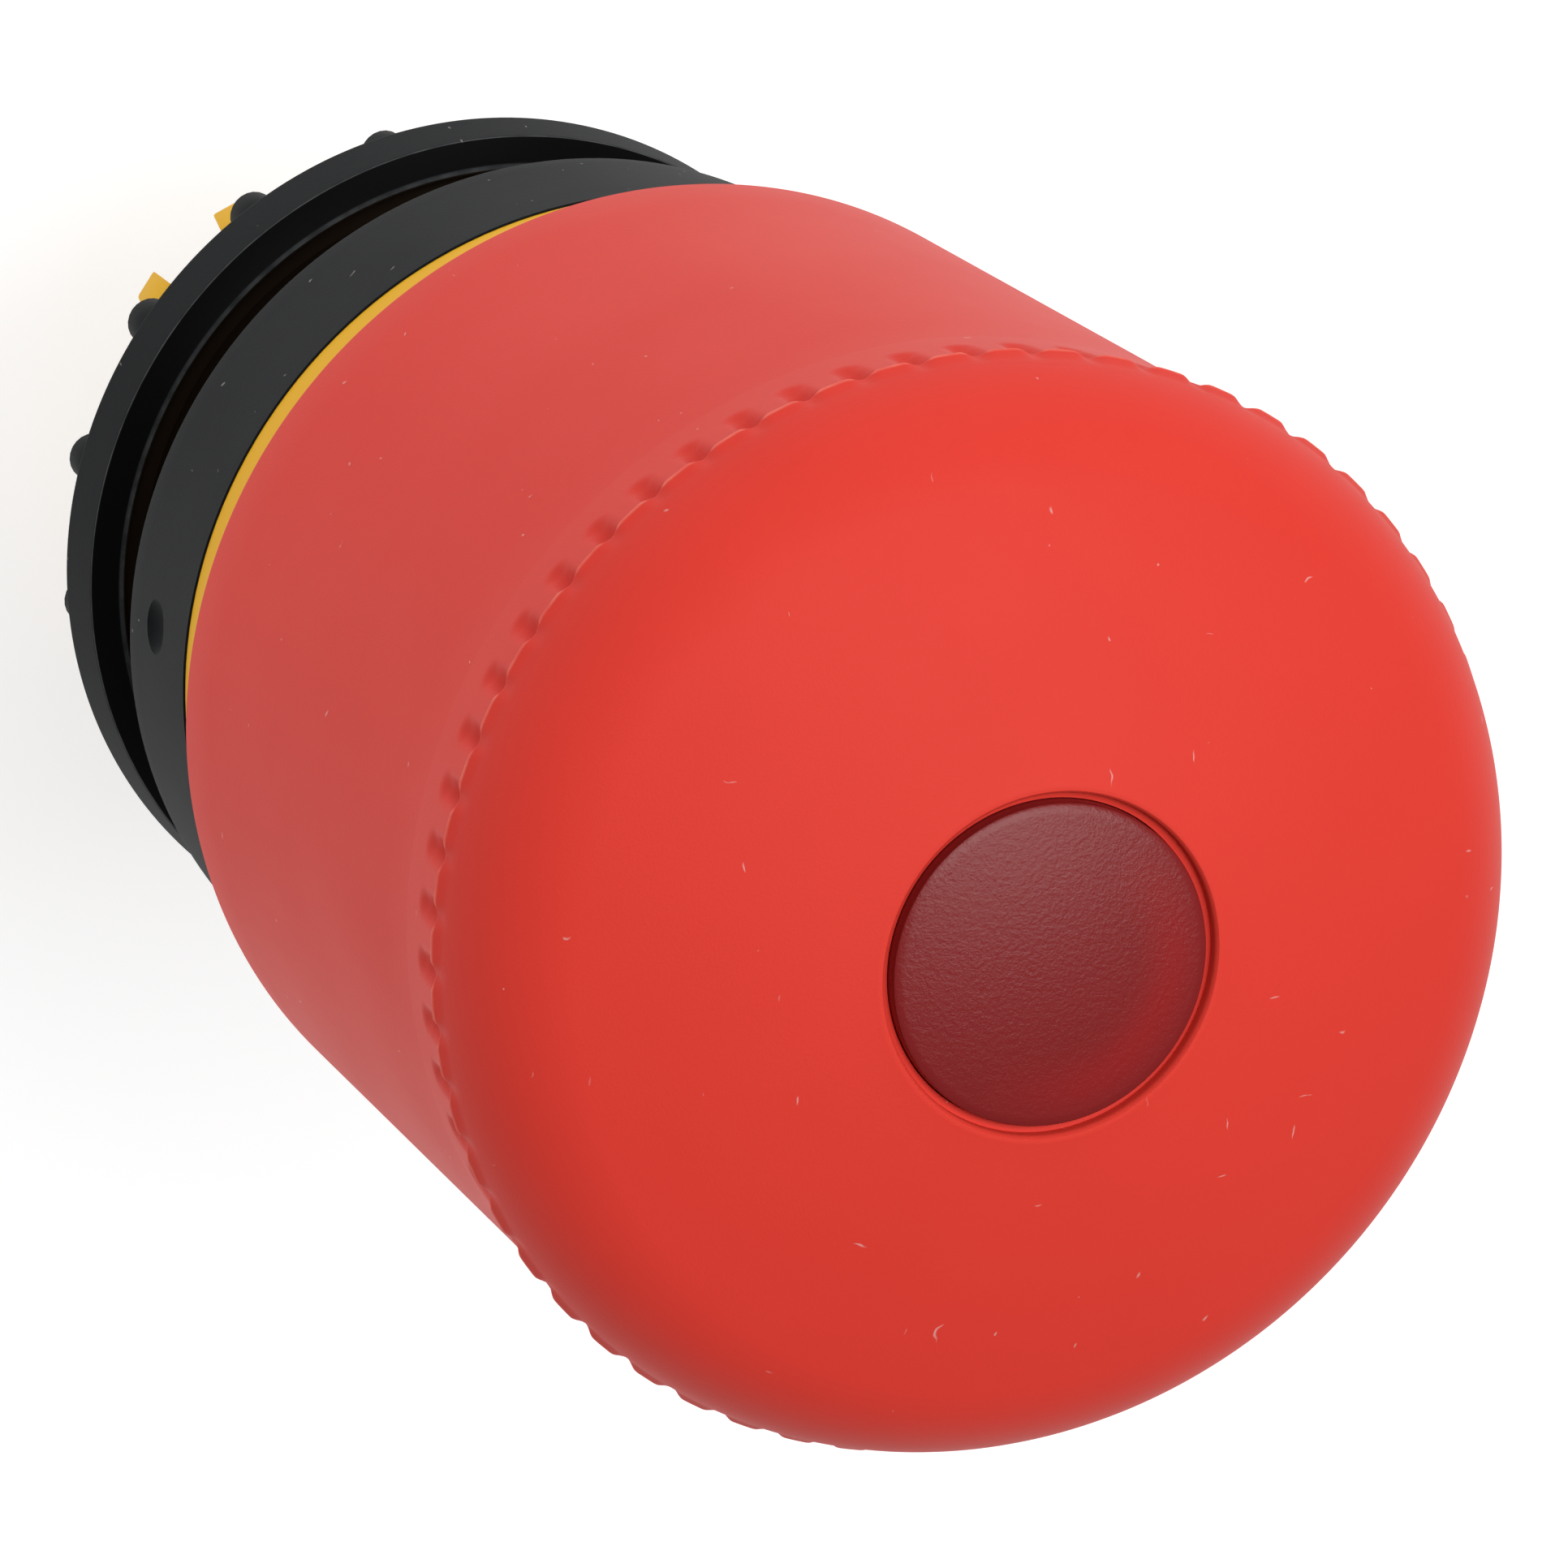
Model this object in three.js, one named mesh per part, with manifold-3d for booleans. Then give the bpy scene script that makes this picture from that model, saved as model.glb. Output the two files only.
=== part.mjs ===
// Illuminated emergency stop operator, 38 mm mushroom head, for a 22.3 mm panel hole.
// Push to latch, pull to release. Millimetres; +Z points out of the panel, towards the hand.
// The origin is the centre of the panel hole, on the panel's front face.
import * as THREE from 'three';
import { mergeVertices } from 'three/addons/utils/BufferGeometryUtils.js';
import Module from 'manifold-3d';

const manifold = await Module();
manifold.setup();

// Driving dimensions.
const COARSE = 32; // segments round a hidden piece
const FINE = 56; // segments round a visible piece
const CLEAR = 0.3; // gap between pieces that slide or are cut for each other

const head = { radius: 19, rimZ: 48.5, faceZ: 55.75, faceCurve: 40 };
const skirt = { radius: 17.54, rearZ: 20.45, wall: 1.04 };
const headEdge = { middle: [13.48, 48.08], radius: 5.4 };
const lens = { radius: 5.54, openingRadius: 5.84, seatZ: 52.3, topZ: 56.1 };
const flange = { radius: 15.03, frontRadius: 14.91, stepRadius: 14.08, sideZ: 3.36, frontZ: 4.07 };
const gasket = { inner: 11.3, outer: 14, thickness: 1 };
const barrel = { radius: 11, bore: 8.5, rearZ: -7.7, neckRadius: 12.8, neckZ: 9.5 };
const thread = { pitch: 1.5, depth: 0.7, frontZ: -0.9 };
const collar = { rearRadius: 15.7, frontRadius: 16.17, floorZ: 11.5, frontZ: 16.5, inner: 13.5 };
const yellow = { radius: 16.1, inner: 13.6, frontZ: 24 };
const sleeve = { bore: 8, radius: 9.6, flangeRadius: 13.2, flangeZ: 13.2, frontZ: 42 };
const stem = { radius: 5.2, bore: 3.4, rearZ: -10.8, coneZ: 24, coneEndZ: 32, topZ: 49.2, slope: 0.3 };
const cage = { inner: 9.9, outer: 16, rearZ: 24.3, roofZ: 27.6, frontZ: 29.3 };
const pawl = { width: 5, rearZ: 24.6, frontZ: 27.3, outer: 12.2 };
const band = { inner: 14.3, outer: 14.7, rearZ: 24.6, frontZ: 27.2, gapDegrees: 30 };
const hub = { inner: 10.1, outer: 12, rearZ: 35, plateZ: 49.5, topZ: 51.3, plateRadius: 16.4 };
const nut = { bore: 11.15, radius: 12.95, knobRadius: 14.05, frontZ: -0.3, rearZ: -2.2, knobs: 16, phase: 14.8 };
const pusher = { radius: 8, lugRadius: 10.35, slot: 8.6, frontZ: -8.6, rearZ: -11 };
const tines = [[-2.62, -1.07], [1.33, 2.88]]; // sides of each tine of a lug, off the lug's middle
const spring = { radius: 7, wire: 0.5, rearZ: -5.7, frontZ: 8.5, turns: 6 };
const seat = { inner: 5.6, outer: 8.3, rearZ: -7.7, frontZ: -6.3 };

const finishes = {
  red: { color: 0xc8402f, roughness: 0.5, metalness: 0 },
  lens: { color: 0x8c3031, roughness: 0.3, metalness: 0 },
  yellow: { color: 0xe0ab24, roughness: 0.45, metalness: 0 },
  black: { color: 0x2b2b2e, roughness: 0.5, metalness: 0 },
  rubber: { color: 0x161616, roughness: 0.85, metalness: 0 },
  natural: { color: 0xd8d4c8, roughness: 0.5, metalness: 0 },
  clear: { color: 0xdfe6e8, roughness: 0.1, metalness: 0 },
  steel: { color: 0xa9abae, roughness: 0.3, metalness: 1 },
};

const assembly = new THREE.Group();

function addMesh(name, geometry, finish) {
  const mesh = new THREE.Mesh(geometry, new THREE.MeshStandardMaterial(finishes[finish]));
  mesh.name = name;
  assembly.add(mesh);
}

// A closed [radius, z] outline turned round the Z axis. Outlines run anticlockwise, radius to the right.
function turned(outline, segments = COARSE) {
  const points = [...outline, outline[0]].map(([radius, z]) => new THREE.Vector2(radius, z));
  return new THREE.LatheGeometry(points, segments).rotateX(Math.PI / 2).rotateZ(Math.PI / 2);
}

function ring(inner, outer, rearZ, frontZ, segments = COARSE) {
  return turned([[inner, rearZ], [outer, rearZ], [outer, frontZ], [inner, frontZ]], segments);
}

// Points on an arc in the [radius, z] plane, from one angle to another in degrees.
function arc(centre, size, from, to, steps) {
  return Array.from({ length: steps + 1 }, (_, i) => {
    const angle = THREE.MathUtils.degToRad(from + ((to - from) * i) / steps);
    return [centre[0] + size * Math.cos(angle), centre[1] + size * Math.sin(angle)];
  });
}

function toSolid(geometry) {
  const bare = geometry.clone().deleteAttribute('normal').deleteAttribute('uv');
  const merged = mergeVertices(bare, 1e-4);
  const mesh = new manifold.Mesh({
    numProp: 3,
    vertProperties: new Float32Array(merged.attributes.position.array),
    triVerts: new Uint32Array(merged.index.array),
  });
  return new manifold.Manifold(mesh);
}

function cut(geometry, ...tools) {
  const solid = tools.reduce((rest, tool) => rest.subtract(toSolid(tool)), toSolid(geometry));
  const mesh = solid.getMesh();
  const result = new THREE.BufferGeometry();
  result.setAttribute('position', new THREE.BufferAttribute(mesh.vertProperties, 3));
  result.setIndex(new THREE.BufferAttribute(mesh.triVerts, 1));
  result.computeVertexNormals();
  return result;
}

// A box between two radii on the +X or -X side, centred on the X axis.
function sideBox(side, innerX, outerX, width, rearZ, frontZ) {
  const box = new THREE.BoxGeometry(outerX - innerX, width, frontZ - rearZ);
  return box.translate((side * (innerX + outerX)) / 2, 0, (rearZ + frontZ) / 2);
}

// An outline in the XY plane, with round holes, extruded from rearZ to frontZ.
function plate(outline, holeRadius, rearZ, frontZ) {
  const shape = new THREE.Shape(outline.map(([x, y]) => new THREE.Vector2(x, y)));
  shape.holes.push(new THREE.Path().absarc(0, 0, holeRadius, 0, 2 * Math.PI, true));
  const options = { depth: frontZ - rearZ, bevelEnabled: false, curveSegments: COARSE };
  return new THREE.ExtrudeGeometry(shape, options).translate(0, 0, rearZ);
}

// The cap, its knurled rim and the long skirt are one moulding, with an open hole for the lens.
function mushroomHead() {
  const innerZ = 51.5;
  const skirtInner = skirt.radius - skirt.wall;
  const edge = arc(headEdge.middle, headEdge.radius, 6, 67, 5);
  const face = arc([0, 56.2 - head.faceCurve], head.faceCurve, 71, 81, 2);
  return turned([
    [skirtInner, skirt.rearZ],
    [skirt.radius, skirt.rearZ],
    [18.42, head.rimZ - 3.9],
    [head.radius, head.rimZ - 0.2],
    [head.radius, head.rimZ],
    ...edge,
    ...face,
    [6.02, head.faceZ],
    [lens.openingRadius, head.faceZ - 0.25],
    [lens.openingRadius, innerZ],
    [16.6, innerZ],
    [17.1, innerZ - 1],
    [17.1, head.rimZ - 2.2],
  ], FINE);
}

// A shallow dome that carries the face's curve on, dropped into the head's opening from the back.
function headLens() {
  const domeRadius = head.faceCurve;
  const rise = domeRadius - Math.sqrt(domeRadius ** 2 - lens.radius ** 2);
  const centreZ = lens.topZ - domeRadius;
  const halfAngle = THREE.MathUtils.radToDeg(Math.asin(lens.radius / domeRadius));
  const dome = arc([0, centreZ], domeRadius, 90 - halfAngle, 90, 4).slice(0, -1);
  return turned([
    [0, lens.seatZ],
    [lens.radius, lens.seatZ],
    [lens.radius, lens.topZ - rise - 0.01],
    ...dome,
    [0, lens.topZ],
  ]).deleteAttribute('uv');
}

// The tube slides outside the guide sleeve, and the plate carries the head.
function headHub() {
  return turned([
    [hub.inner, hub.rearZ],
    [hub.outer, hub.rearZ],
    [hub.outer, hub.plateZ],
    [hub.plateRadius, hub.plateZ],
    [hub.plateRadius, hub.topZ],
    [stem.bore, hub.topZ],
    [stem.bore, hub.plateZ],
    [hub.inner, hub.plateZ],
  ]);
}

// Hollow for the light. Its cone lifts the latch pawls as the head goes in.
function pushStem() {
  const shoulder = { radius: 6, rearZ: 10.2, frontZ: 11.4 };
  const topRadius = stem.radius + stem.slope * (stem.coneEndZ - stem.coneZ);
  return turned([
    [stem.bore, stem.rearZ],
    [stem.radius, stem.rearZ],
    [stem.radius, shoulder.rearZ],
    [shoulder.radius, shoulder.rearZ],
    [shoulder.radius, shoulder.frontZ],
    [stem.radius, shoulder.frontZ],
    [stem.radius, stem.coneZ],
    [topRadius, stem.coneEndZ],
    [topRadius, stem.topZ],
    [stem.bore, stem.topZ],
  ]);
}

// The thread is drawn as parallel grooves at its true pitch and depth.
function operatorBarrel() {
  const grooves = [];
  const count = Math.floor((thread.frontZ - barrel.rearZ) / thread.pitch);
  for (let i = 0; i < count; i += 1) {
    const z = thread.frontZ - thread.pitch * (count - i) + 0.2;
    const root = barrel.radius - thread.depth;
    grooves.push([barrel.radius, z], [root, z + 0.5], [root, z + 0.7], [barrel.radius, z + 1.2]);
  }
  return turned([
    [barrel.bore, barrel.rearZ],
    [barrel.radius - 0.5, barrel.rearZ],
    [barrel.radius, barrel.rearZ + 0.5],
    ...grooves,
    [barrel.radius, flange.frontZ],
    [barrel.neckRadius, flange.frontZ],
    [barrel.neckRadius, barrel.neckZ],
    [barrel.bore, barrel.neckZ],
  ]);
}

// A groove in the front face leaves a thin edge round the neck.
function bezelRing() {
  const inner = barrel.radius + 0.2;
  return turned([
    [inner, gasket.thickness],
    [flange.radius, gasket.thickness],
    [flange.frontRadius, flange.sideZ],
    [flange.stepRadius, flange.frontZ],
    [13.9, flange.frontZ - 0.9],
    [13, flange.frontZ - 0.9],
    [12.95, flange.frontZ],
    [inner, flange.frontZ],
  ], FINE);
}

// A shallow cup with one round witness dimple on its outside.
function guardCollar() {
  const dimple = new THREE.SphereGeometry(1.2, 16, 12).translate(-collar.frontRadius - 0.45, 0, 12.8);
  const cup = turned([
    [barrel.bore, barrel.neckZ],
    [collar.rearRadius, barrel.neckZ],
    [collar.frontRadius, collar.frontZ],
    [collar.inner, collar.frontZ],
    [collar.inner, collar.floorZ],
    [barrel.bore, collar.floorZ],
  ], FINE);
  return cut(cup, dimple);
}

// The moulded tube that guides the head, with a window on each side for a pawl.
function guideSleeve() {
  const tube = turned([
    [sleeve.bore, collar.floorZ],
    [sleeve.flangeRadius, collar.floorZ],
    [sleeve.flangeRadius, sleeve.flangeZ],
    [sleeve.radius, sleeve.flangeZ],
    [sleeve.radius, sleeve.frontZ],
    [sleeve.bore, sleeve.frontZ],
  ]);
  const windows = [1, -1].map((side) => (
    sideBox(side, 7, 11, pawl.width + 2 * CLEAR, cage.rearZ, cage.roofZ)));
  return cut(tube, ...windows);
}

// Holds the pawls and, in a groove round its underside, the spring band.
function latchCage() {
  const grooveInner = band.inner - 0.2;
  const grooveOuter = band.outer + 0.2;
  const body = turned([
    [cage.inner, cage.rearZ],
    [grooveInner, cage.rearZ],
    [grooveInner, cage.roofZ],
    [grooveOuter, cage.roofZ],
    [grooveOuter, cage.rearZ],
    [cage.outer, cage.rearZ],
    [cage.outer, cage.frontZ],
    [cage.inner, cage.frontZ],
  ]);
  const pockets = [1, -1].map((side) => (
    sideBox(side, 8, 14.5, pawl.width + 2 * CLEAR, cage.rearZ - 1, cage.roofZ)));
  return cut(body, ...pockets);
}

// A wedge whose inner face follows the stem's cone at a running gap.
function latchPawl(side) {
  const faceAt = (z) => stem.radius + stem.slope * (z - stem.coneZ) + CLEAR;
  const outline = [
    [faceAt(pawl.rearZ), pawl.rearZ],
    [pawl.outer, pawl.rearZ],
    [pawl.outer, pawl.frontZ],
    [faceAt(pawl.frontZ), pawl.frontZ],
  ];
  const shape = new THREE.Shape(outline.map(([x, z]) => new THREE.Vector2(x, z)));
  const wedge = new THREE.ExtrudeGeometry(shape, { depth: pawl.width, bevelEnabled: false });
  wedge.translate(0, 0, -pawl.width / 2).rotateX(Math.PI / 2);
  return side > 0 ? wedge : wedge.rotateZ(Math.PI);
}

// A C-shaped flat spring round both pawls.
function springBand() {
  const half = THREE.MathUtils.degToRad(band.gapDegrees / 2);
  const shape = new THREE.Shape();
  shape.absarc(0, 0, band.outer, Math.PI / 2 + half, Math.PI / 2 - half + 2 * Math.PI, false);
  shape.absarc(0, 0, band.inner, Math.PI / 2 - half + 2 * Math.PI, Math.PI / 2 + half, true);
  const options = { depth: band.frontZ - band.rearZ, bevelEnabled: false, curveSegments: COARSE };
  return new THREE.ExtrudeGeometry(shape, options).translate(0, 0, band.rearZ);
}

function ringNut() {
  const outline = [];
  const step = 360 / nut.knobs;
  for (let i = 0; i < nut.knobs; i += 1) {
    const middle = nut.phase + i * step;
    const corners = [
      [nut.radius, -3.9], [13.8, -3.1], [nut.knobRadius, -1.4],
      [nut.knobRadius, 1.4], [13.8, 3.1], [nut.radius, 3.9], [nut.radius, 11.25],
    ];
    for (const [radius, offset] of corners) {
      const angle = THREE.MathUtils.degToRad(middle + offset);
      outline.push([radius * Math.cos(angle), radius * Math.sin(angle)]);
    }
  }
  return plate(outline, nut.bore, nut.rearZ, nut.frontZ);
}

// A hub with a forked lug on each diagonal. The lugs push the contact blocks. Each tine is cut back at the
// rear on its anticlockwise side, to lead it past the blocks.
function pressurePiece() {
  const { radius, lugRadius, slot } = pusher;
  const [first, second] = tines;
  const along = (size, offset) => [Math.sqrt(size ** 2 - offset ** 2), offset];
  const fork = [
    along(radius, first[0]), along(lugRadius, first[0]), along(lugRadius, first[1]),
    [slot, first[1]], [slot, second[0]],
    along(lugRadius, second[0]), along(lugRadius, second[1]), along(radius, second[1]),
    along(radius, 4.4),
  ];
  const outline = [];
  const leads = [];
  for (const diagonal of [45, 135, 225, 315]) {
    const turn = THREE.MathUtils.degToRad(diagonal);
    for (const [u, v] of fork) {
      outline.push([u * Math.cos(turn) - v * Math.sin(turn), u * Math.sin(turn) + v * Math.cos(turn)]);
    }
    for (const [, side] of tines) {
      const lead = new THREE.BoxGeometry(3, 1, 4).rotateX(THREE.MathUtils.degToRad(-18));
      leads.push(lead.translate(slot + 1.52, side, pusher.rearZ).rotateZ(turn));
    }
  }
  const body = plate(outline, stem.radius + CLEAR / 2, pusher.rearZ, pusher.frontZ);
  const recess = new THREE.CylinderGeometry(7, 7, 1.4, COARSE).rotateX(Math.PI / 2);
  return cut(body, recess.translate(0, 0, pusher.rearZ + 0.4), ...leads);
}

function returnSpring() {
  class Helix extends THREE.Curve {
    getPoint(t, target = new THREE.Vector3()) {
      const angle = 2 * Math.PI * spring.turns * t;
      const z = spring.rearZ + (spring.frontZ - spring.rearZ) * t;
      return target.set(spring.radius * Math.cos(angle), spring.radius * Math.sin(angle), z);
    }
  }
  const section = new THREE.Shape().absarc(0, 0, spring.wire, 0, 2 * Math.PI, false);
  const options = { extrudePath: new Helix(), steps: 84, curveSegments: 6, bevelEnabled: false };
  return new THREE.ExtrudeGeometry(section, options);
}

// Pieces fixed to the panel, from the rear to the front.
addMesh('spring_seat', ring(seat.inner, seat.outer, seat.rearZ, seat.frontZ), 'natural');
addMesh('operator_barrel', operatorBarrel(), 'black');
addMesh('panel_gasket', ring(gasket.inner, gasket.outer, 0, gasket.thickness), 'rubber');
addMesh('bezel_ring', bezelRing(), 'black');
addMesh('guard_collar', guardCollar(), 'black');
addMesh('yellow_ring', ring(yellow.inner, yellow.radius, collar.frontZ, yellow.frontZ, FINE), 'yellow');
addMesh('guide_sleeve', guideSleeve(), 'natural');
addMesh('stem_seal', ring(stem.radius + CLEAR / 2, sleeve.bore - CLEAR / 2, 13.6, 15.6), 'rubber');
addMesh('latch_cage', latchCage(), 'natural');
addMesh('latch_spring_band', springBand(), 'steel');
addMesh('return_spring', returnSpring(), 'steel');

// The nut behind the panel, and the two pawls that the stem's cone lifts.
addMesh('ring_nut', ringNut(), 'black');
addMesh('latch_pawl_right', latchPawl(1), 'steel');
addMesh('latch_pawl_left', latchPawl(-1), 'steel');

// Pieces that travel with the head.
addMesh('mushroom_head', mushroomHead(), 'red');
addMesh('head_lens', headLens(), 'lens');
addMesh('lens_gasket', ring(4.4, lens.radius, hub.topZ + 0.1, lens.seatZ - 0.1), 'rubber');
addMesh('head_hub', headHub(), 'black');
addMesh('push_stem', pushStem(), 'natural');
addMesh('light_guide', ring(0, 3, stem.rearZ + CLEAR, hub.topZ - CLEAR), 'clear');
addMesh('spring_washer', ring(stem.radius + CLEAR / 2, seat.outer - 0.1, 9, 10), 'steel');
addMesh('pressure_piece', pressurePiece(), 'yellow');
addMesh('stem_clip', ring(stem.radius + CLEAR / 2, 6.7, -10.7, -10), 'steel');

export default assembly;
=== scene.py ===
import math

import bpy
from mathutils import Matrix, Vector


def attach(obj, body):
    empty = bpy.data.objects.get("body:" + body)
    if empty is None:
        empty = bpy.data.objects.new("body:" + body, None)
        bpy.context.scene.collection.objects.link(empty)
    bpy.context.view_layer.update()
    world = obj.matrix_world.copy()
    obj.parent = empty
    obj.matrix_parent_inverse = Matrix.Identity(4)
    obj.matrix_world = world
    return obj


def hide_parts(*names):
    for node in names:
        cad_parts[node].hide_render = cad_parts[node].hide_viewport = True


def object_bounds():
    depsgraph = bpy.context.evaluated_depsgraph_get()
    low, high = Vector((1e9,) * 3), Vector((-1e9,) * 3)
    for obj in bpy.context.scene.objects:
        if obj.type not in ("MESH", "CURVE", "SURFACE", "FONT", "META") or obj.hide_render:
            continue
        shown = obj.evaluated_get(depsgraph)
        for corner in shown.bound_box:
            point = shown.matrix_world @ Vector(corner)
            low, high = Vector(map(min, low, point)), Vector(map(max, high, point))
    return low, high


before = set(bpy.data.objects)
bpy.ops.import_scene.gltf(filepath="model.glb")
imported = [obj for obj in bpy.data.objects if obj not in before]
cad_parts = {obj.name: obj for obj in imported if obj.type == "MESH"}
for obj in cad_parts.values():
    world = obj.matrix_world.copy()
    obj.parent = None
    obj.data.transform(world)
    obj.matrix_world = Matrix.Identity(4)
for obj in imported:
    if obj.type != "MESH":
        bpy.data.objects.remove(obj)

cad_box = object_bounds()

# Camera: a long lens that looks down on the head's face from the side, so that the axis of the operator
# runs towards the lower right of the frame.
MM = 0.001
camera_data = bpy.data.cameras.new("studio_camera")
camera_data.lens = 447.2
camera_data.sensor_width = 36.0
camera_data.clip_start = 0.01
camera_data.clip_end = 10.0
camera = bpy.data.objects.new("studio_camera", camera_data)
bpy.context.scene.collection.objects.link(camera)
camera.location = (-249.09 * MM, 165.57 * MM, 619.22 * MM)
camera.rotation_euler = (math.radians(-16.988), math.radians(-21.318), math.radians(6.337))
bpy.context.scene.camera = camera
bpy.context.view_layer.update()
view_right, view_up, view_back = (camera.matrix_world.to_3x3().col[i].copy() for i in range(3))

# Studio: a pale floor just under the pressure piece at full travel, and plain soft boxes, the strongest to
# the right of the camera, one close beside it and a weak one overhead.
FLOOR_DROP = 6.5 * MM
bpy.context.scene.view_settings.view_transform = "Standard"
bpy.ops.object.select_all(action="DESELECT")
bpy.ops.mesh.primitive_circle_add(
    vertices=96, radius=1.2, fill_type="NGON", location=(0, 0, cad_box[0].z - FLOOR_DROP))
floor = bpy.context.object
floor.name = "studio_floor"
floor_paint = bpy.data.materials.new("studio_floor")
floor_paint.use_nodes = True
floor_shader = floor_paint.node_tree.nodes["Principled BSDF"]
floor_shader.inputs["Base Color"].default_value = (0.5, 0.5, 0.5, 1)
floor_shader.inputs["Roughness"].default_value = 0.9
floor_shader.inputs["Emission Color"].default_value = (1, 1, 1, 1)
floor_shader.inputs["Emission Strength"].default_value = 0.72
floor.data.materials.append(floor_paint)

world = bpy.data.worlds.new("studio_world")
world.use_nodes = True
world.node_tree.nodes["Background"].inputs["Color"].default_value = (1, 1, 1, 1)
world.node_tree.nodes["Background"].inputs["Strength"].default_value = 0.15
bpy.context.scene.world = world


def softbox(name, right, up, back, distance, size, watts):
    """A square soft light that faces the head from a direction given in the camera's own terms."""
    data = bpy.data.lights.new(name, "AREA")
    data.shape = "SQUARE"
    data.size = size
    data.energy = watts
    lamp = bpy.data.objects.new(name, data)
    bpy.context.scene.collection.objects.link(lamp)
    way = (view_right * right + view_up * up + view_back * back).normalized()
    target = Vector((0, 0, 35 * MM))
    lamp.location = target + way * distance
    lamp.rotation_mode = "QUATERNION"
    lamp.rotation_quaternion = way.to_track_quat("Z", "Y")


softbox("right_softbox", 0.55, -0.05, 0.75, 0.9, 0.6, 5.5)
softbox("front_softbox", 0.15, 0.15, 1.0, 0.9, 0.5, 2.6)
softbox("top_softbox", 0.2, 0.95, 0.4, 0.8, 0.4, 0.5)

# Mushroom head: one moulding in red impact-proof plastic, spark-eroded matt, with a shallow domed face, a
# rounded edge, a sharp parting line at the rim and a row of finger notches scooped out just behind it. It
# snaps over the plate of the black hub inside.
NOTCHES = 59
COLUMNS_PER_NOTCH = 16
FIRST_NOTCH_COLUMN = 11
RIM_RADIUS = 19.0
RIM_HEIGHT = 48.5
SKIRT_RADIUS = 17.54
SKIRT_HEIGHT = 20.45
EDGE_MIDDLE = (13.48, 48.08)
EDGE_SIZE = 5.4
FACE_MIDDLE = (0, 16.2)
FACE_CURVE = 40.0
BEAD_RADIUS = 6.02
BEAD_HEIGHT = 55.75
OPENING_RADIUS = 5.84
PLATE_HEIGHT = 51.5


def rounded(centre, size, start, end, steps):
    """Points in mm on an arc of an outline, from one angle to another in degrees."""
    turns = [math.radians(start + (end - start) * i / steps) for i in range(steps + 1)]
    return [(centre[0] + size * math.cos(t), centre[1] + size * math.sin(t)) for t in turns]


def straight(start, end, steps):
    """Evenly spaced points in mm on a line of an outline, without its first point."""
    return [(start[0] + (end[0] - start[0]) * i / steps,
             start[1] + (end[1] - start[1]) * i / steps) for i in range(1, steps + 1)]


def turned(name, outline, columns, sharp=32):
    """Turns an outline of (radius, height) points in mm round the Z axis, as on a lathe."""
    bpy.ops.object.select_all(action="DESELECT")
    bpy.ops.mesh.primitive_plane_add(size=MM)
    piece = bpy.context.object
    piece.name = name
    piece.data.name = name
    bpy.ops.object.mode_set(mode="EDIT")
    bpy.ops.mesh.select_all(action="SELECT")
    bpy.ops.mesh.merge(type="CENTER")
    here = (0.0, 0.0)
    path = list(outline) + ([outline[0]] if outline[0][0] > 0 else [])
    for number, (radius, height) in enumerate(path):
        step = ((radius - here[0]) * MM, 0, (height - here[1]) * MM)
        if number == 0:
            bpy.ops.transform.translate(value=step)
        else:
            bpy.ops.mesh.extrude_vertices_move(TRANSFORM_OT_translate={"value": step})
        here = (radius, height)
    bpy.ops.mesh.select_all(action="SELECT")
    bpy.ops.mesh.spin(steps=columns, angle=2 * math.pi, center=(0, 0, 0), axis=(0, 0, 1))
    bpy.ops.mesh.select_all(action="SELECT")
    bpy.ops.mesh.remove_doubles(threshold=0.002 * MM)
    bpy.ops.mesh.normals_make_consistent(inside=False)
    bpy.ops.object.mode_set(mode="OBJECT")
    bpy.ops.object.shade_smooth_by_angle(angle=math.radians(sharp))
    return piece


def pick(piece, test):
    """Leaves a piece in edit mode with only the vertices selected whose place passes a test."""
    bpy.ops.object.mode_set(mode="EDIT")
    bpy.ops.mesh.select_mode(type="VERT")
    bpy.ops.mesh.select_all(action="DESELECT")
    bpy.ops.object.mode_set(mode="OBJECT")
    for vertex in piece.data.vertices:
        vertex.select = not vertex.hide and test(vertex.co)
    bpy.ops.object.mode_set(mode="EDIT")


def pull_in(piece, spots, factor, reach, ceiling=100):
    """Draws the picked vertices towards the Z axis, and their neighbours below the ceiling with them."""
    pick(piece, lambda place: place.z > ceiling * MM)
    bpy.ops.mesh.hide(unselected=False)
    bpy.ops.object.mode_set(mode="OBJECT")
    pick(piece, spots)
    bpy.ops.transform.resize(
        value=(factor, factor, 1), center_override=(0, 0, 0), use_proportional_edit=True,
        proportional_edit_falloff="SMOOTH", proportional_size=reach * MM)
    bpy.ops.mesh.reveal(select=False)
    bpy.ops.object.mode_set(mode="OBJECT")


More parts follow.
